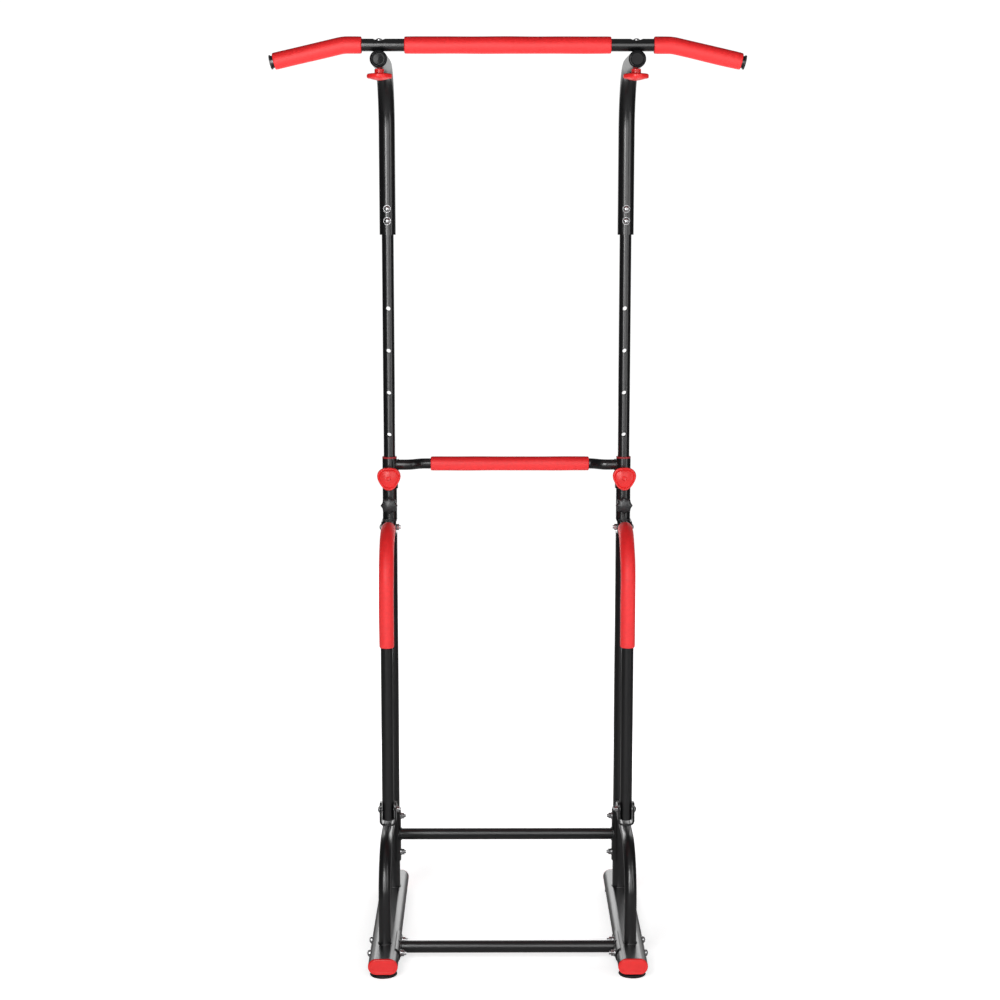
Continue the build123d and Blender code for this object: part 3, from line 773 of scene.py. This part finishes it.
class TOWER_OT_end_caps(bpy.types.Operator):
    """Mould the red end caps of the base tubes"""
    bl_idname = "tower.end_caps"
    bl_label = "End caps"

    def execute(self, context):
        edge = context.scene.tower_sizes.cap_edge
        base_low, base_high = corners("base_tube_left")
        for side, _ in SIDES:
            for end, e in (("front", -1), ("rear", 1)):
                low, high = corners(f"end_cap_{end}_{side}")
                centre = (low + high) / 2
                width, height = high[0] - low[0], high[2] - low[2]
                mouth = base_low[1] if e < 0 else base_high[1]
                depth = (high[1] - mouth) if e > 0 else (mouth - low[1])
                solid = self.shell(centre, mouth, e, width, height, depth, edge)
                piece = make_piece(f"red_cap_{end}_{side}", [solid], "frame", "red_plastic")
                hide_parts(f"end_cap_{end}_{side}")
        return {"FINISHED"}

    def shell(self, centre, mouth, e, width, height, depth, edge):
        """Rows of flat-oval outlines: each is two half circles drawn in by an inset, at a depth.

        The rows go from inside the tube, over the lip, round the edge and across the face, which
        has a shallow moulded tray.
        """
        a = np.linspace(-math.pi / 2, math.pi / 2, 40)
        half = np.stack([np.cos(a), np.sin(a)], -1)
        rows = [(0.030, -0.014), (0.0023, -0.014), (0.0021, -0.0004), (0.0006, 0.0), (0.0, 0.0006),
                (0.0, depth - edge)]
        q = np.linspace(0, math.pi / 2, 8)[1:]
        rows += [(edge * (1 - math.cos(t)), depth - edge + edge * math.sin(t)) for t in q]
        rows += [(edge + 0.0016, depth), (edge + 0.0024, depth - 0.0007), (edge + 0.006, depth - 0.0009),
                 (edge + 0.012, depth - 0.0009)]
        flat = (width - height) / 2
        points = []
        for inset, out in rows:
            r = max(height / 2 - inset, 0.0006)
            shift = flat if inset < height / 2 else flat * 0.5
            right = half * r + (shift, 0)
            left = -half * r - (shift, 0)
            outline = np.concatenate([right, left])
            level = np.full(len(outline), mouth + e * out)
            points.append(np.stack([centre[0] + outline[:, 0], level, centre[2] + outline[:, 1]], -1))
        return capped_solid(np.array(points))


class TOWER_OT_feet(bpy.types.Operator):
    """Mould the four suction feet with their stepped skirts"""
    bl_idname = "tower.feet"
    bl_label = "Suction feet"

    def execute(self, context):
        for side, _ in SIDES:
            for end in ("front", "rear"):
                name = f"suction_foot_{end}_{side}"
                low, high = corners(name)
                r = (high[0] - low[0]) / 2
                place = np.array(((low[0] + high[0]) / 2, (low[1] + high[1]) / 2, low[2]))
                profile = [(0.0005, 0.0042), (0.016, 0.0028), (r - 0.004, 0.0), (r - 0.0004, 0.0),
                           (r, 0.0006), (r - 0.0003, 0.0018), (r - 0.0036, 0.0026),
                           (r - 0.004, 0.0040), (r - 0.0085, 0.0050), (r - 0.0090, 0.0062),
                           (0.0150, 0.0070), (0.0140, 0.0078), (0.0140, 0.0099), (0.0005, 0.0099)]
                solid = turned(place, Z, rounded_profile(profile, 0.0006), 96)
                piece = make_piece(f"rubber_foot_{end}_{side}", [solid], "frame", "foot_rubber")
                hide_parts(name)
        return {"FINISHED"}


class TOWER_OT_welds(bpy.types.Operator):
    """Lay weld beads where tubes, plates and brackets meet"""
    bl_idname = "tower.welds"
    bl_label = "Weld beads"

    def execute(self, context):
        sizes = context.scene.tower_sizes
        size = sizes.weld_bead
        base_low, base_high = corners("base_tube_left")
        sleeve_r = span("post_bushing_left")[0] / 2
        tube_r = span("lower_strut_left")[0] / 2
        for side, s in SIDES:
            x = middle("upright_" + side)[0]
            post_y = middle("post_bushing_" + side)[1]
            strut_low, strut_high = corners("lower_strut_" + side)
            foot_y = strut_low[1] + tube_r
            beads = [self.on_base(x, post_y, sleeve_r, side, size),
                     self.on_base(x, foot_y, tube_r, side, size)]
            plate_r = sleeve_r + sizes.plate
            level = strut_high[2] - tube_r
            beads.append(self.joint((x, post_y, level), -Y, tube_r, Z, sleeve_r, size, 34))
            high_z = middle("upper_crossbar")[2]
            beads.append(self.joint((x, post_y, high_z), -s * X, tube_r, Z, plate_r, size, 34))
            low_y = middle("lower_crossbar")[1]
            base_z = (base_low[2] + base_high[2]) / 2
            arc = (base_high[2] - base_low[2]) / 2
            arc_x = x - s * ((base_high[0] - base_low[0]) / 2 - arc)
            beads.append(self.joint((arc_x, low_y, base_z), -s * X, tube_r, Y, arc + sizes.plate,
                                    size, 34))
            mid_z = middle("mid_bar_foam")[2]
            beads.append(self.joint((x, post_y, mid_z), -s * X, sizes.mid_bar, Z, plate_r,
                                    size * 0.8, 30))
            clamp_z = middle("clamp_stud_" + side)[2]
            beads.append(self.joint((x, post_y, clamp_z), -Y, sizes.clamp_boss, Z, sleeve_r,
                                    size * 0.7, 22))
            pin_z = middle("lock_pin_" + side)[2]
            housing_r = span("pin_housing_" + side)[0] / 2
            beads.append(self.joint((x, post_y, pin_z), -Y, housing_r, Z, sleeve_r, size * 0.7, 22))
            make_piece("weld_beads_" + side, beads, "frame", "black_paint")
        return {"FINISHED"}

    def joint(self, origin, direction, r, column, big, size, ripples):
        curve, out = meeting_curve(np.array(origin), direction, r, column, big)
        return bead(curve, out, size, ripples)

    def on_base(self, x, y, r, side, size):
        """Round tube standing on the flat-oval tube: the height falls off as a circle past the flat."""
        low, high = corners("base_tube_" + side)
        arc = (high[2] - low[2]) / 2
        flat = (high[0] - low[0]) / 2 - arc
        a = np.linspace(0, 2 * math.pi, 180, endpoint=False)
        dx = r * np.cos(a)
        past = np.maximum(np.abs(dx) - flat, 0)
        z = (low[2] + high[2]) / 2 + np.sqrt(arc ** 2 - past ** 2)
        curve = np.stack([x + dx, y + r * np.sin(a), z], -1)
        out = np.stack([np.cos(a), np.sin(a), np.zeros(len(a))], -1)
        return bead(curve, out, size, 46)


# Soft boxes: name, place, the point each faces, width and height, and watts
LAMPS = (
    ("key_high", (-0.85, -2.5, 2.2), (0.0, 0.1, 1.4), (0.75, 1.3), 25.0),
    ("key_low", (-0.85, -2.5, 1.05), (0.0, 0.1, 1.0), (0.75, 1.0), 9.0),
    ("front", (0.75, -2.9, 1.8), (0.0, 0.1, 1.15), (1.6, 2.2), 20.0),
    ("fill", (1.9, -1.35, 1.5), (0.0, 0.1, 1.1), (0.7, 2.2), 8.5),
    ("backdrop", (0.0, 4.5, 1.6), (0.0, 0.0, 0.9), (6.0, 3.0), 38.0),
    ("base_glow", (0.0, 1.6, 0.68), (0.0, 0.0, 0.05), (1.6, 0.9), 6.5),
)


class TOWER_OT_stage(bpy.types.Operator):
    """Lay the pale floor, hang the soft lights and set up the camera"""
    bl_idname = "tower.stage"
    bl_label = "Studio"

    def execute(self, context):
        scene = context.scene
        stage = scene.tower_stage
        self.floor()
        self.world(scene)
        for lamp in LAMPS:
            self.lamp(*lamp)
        sun = bpy.data.lights.new("overhead", "SUN")
        sun.energy = 0.06
        sun.angle = math.radians(50.0)
        overhead = bpy.data.objects.new("overhead", sun)
        overhead.rotation_euler = (math.radians(14.0), math.radians(-6.0), 0.0)
        scene.collection.objects.link(overhead)
        camera = bpy.data.cameras.new("camera")
        camera.lens = stage.focal
        camera.sensor_width = 36.0
        camera.clip_end = 60.0
        holder = bpy.data.objects.new("camera", camera)
        holder.location = stage.place
        holder.rotation_euler = (math.pi / 2 - stage.tilt, 0.0, -stage.turn)
        scene.collection.objects.link(holder)
        scene.camera = holder
        scene.view_settings.view_transform = "Standard"
        return {"FINISHED"}

    def floor(self):
        mesh = bpy.data.meshes.new("floor")
        half = 14.0
        square = [(-half, -half, 0), (half, -half, 0), (half, half, 0), (-half, half, 0)]
        mesh.from_pydata(square, [], [(0, 1, 2, 3)])
        floor = bpy.data.objects.new("floor", mesh)
        bpy.context.scene.collection.objects.link(floor)
        material, tree, shader, vector = blank_material("pale_floor")
        patches = noise(tree, vector, 3.0, 4.0)
        pale = mix_colour(tree, patches, (0.90, 0.90, 0.90), (0.94, 0.94, 0.94))
        path = tree.nodes.new("ShaderNodeLightPath")
        seen = path.outputs["Is Camera Ray"]
        base = mix_colour(tree, seen, (0.40, 0.40, 0.40), pale)
        tree.links.new(base, shader.inputs["Base Color"])
        shader.inputs["Roughness"].default_value = 0.7
        shader.inputs["Specular IOR Level"].default_value = 0.1
        distance = tree.nodes.new("ShaderNodeVectorMath")
        distance.operation = "LENGTH"
        tree.links.new(vector, distance.inputs[0])
        bounce = mix_colour(tree, path.outputs["Is Diffuse Ray"], (0.0, 0.0, 0.0), (1.1, 1.1, 1.1))
        near = remap(tree, distance.outputs["Value"], 0.5, 1.8, 0.66, 1.0)
        glow = mix_colour(tree, seen, bounce, near)
        tree.links.new(glow, shader.inputs["Emission Color"])
        shader.inputs["Emission Strength"].default_value = 1.0
        mesh.materials.append(material)

    def world(self, scene):
        world = bpy.data.worlds.new("studio")
        world.use_nodes = True
        tree = world.node_tree
        seen = tree.nodes.new("ShaderNodeLightPath").outputs["Is Camera Ray"]
        sky = tree.nodes["Background"]
        sky.inputs["Color"].default_value = (1.0, 1.0, 1.0, 1.0)
        tree.links.new(remap(tree, seen, 0.0, 1.0, 0.04, 1.05), sky.inputs["Strength"])
        scene.world = world

    def lamp(self, name, place, aim, size, watts):
        light = bpy.data.lights.new(name, "AREA")
        light.shape = "RECTANGLE"
        light.size, light.size_y = size
        light.energy = watts
        holder = bpy.data.objects.new(name, light)
        away = np.array(place) - np.array(aim)
        flat = math.hypot(away[0], away[1])
        holder.location = place
        holder.rotation_euler = (math.atan2(flat, away[2]), 0.0, math.atan2(away[0], -away[1]))
        holder.visible_camera = False
        bpy.context.scene.collection.objects.link(holder)


class TOWER_PT_panel(bpy.types.Panel):
    """The tower's settings and its steps"""
    bl_idname = "TOWER_PT_panel"
    bl_label = "Power Tower"
    bl_space_type = "VIEW_3D"
    bl_region_type = "UI"
    bl_category = "Power Tower"

    def draw(self, context):
        scene = context.scene
        for settings in (scene.tower_sizes, scene.tower_colours, scene.tower_stage):
            for key in settings.bl_rna.properties.keys():
                if key not in ("rna_type", "name"):
                    self.layout.prop(settings, key)
        for step in STEPS:
            self.layout.operator(step.bl_idname)


STEPS = (TOWER_OT_finishes, TOWER_OT_bar_foam, TOWER_OT_arm_foam, TOWER_OT_mid_foam,
         TOWER_OT_lobed_knobs, TOWER_OT_star_knobs, TOWER_OT_mast_plugs, TOWER_OT_end_caps,
         TOWER_OT_feet, TOWER_OT_welds, TOWER_OT_stage)
SETTINGS = (("tower_sizes", TowerSizes), ("tower_colours", TowerColours), ("tower_stage", TowerStage))


def register():
    for name, group in SETTINGS:
        bpy.utils.register_class(group)
        setattr(bpy.types.Scene, name, bpy.props.PointerProperty(type=group))
    for cls in STEPS + (TOWER_PT_panel,):
        bpy.utils.register_class(cls)


def unregister():
    for cls in (TOWER_PT_panel,) + STEPS[::-1]:
        bpy.utils.unregister_class(cls)
    for name, group in SETTINGS[::-1]:
        delattr(bpy.types.Scene, name)
        bpy.utils.unregister_class(group)


def main():
    register()
    for step in STEPS:
        family, action = step.bl_idname.split(".")
        getattr(getattr(bpy.ops, family), action)()


if __name__ == "__main__":
    main()
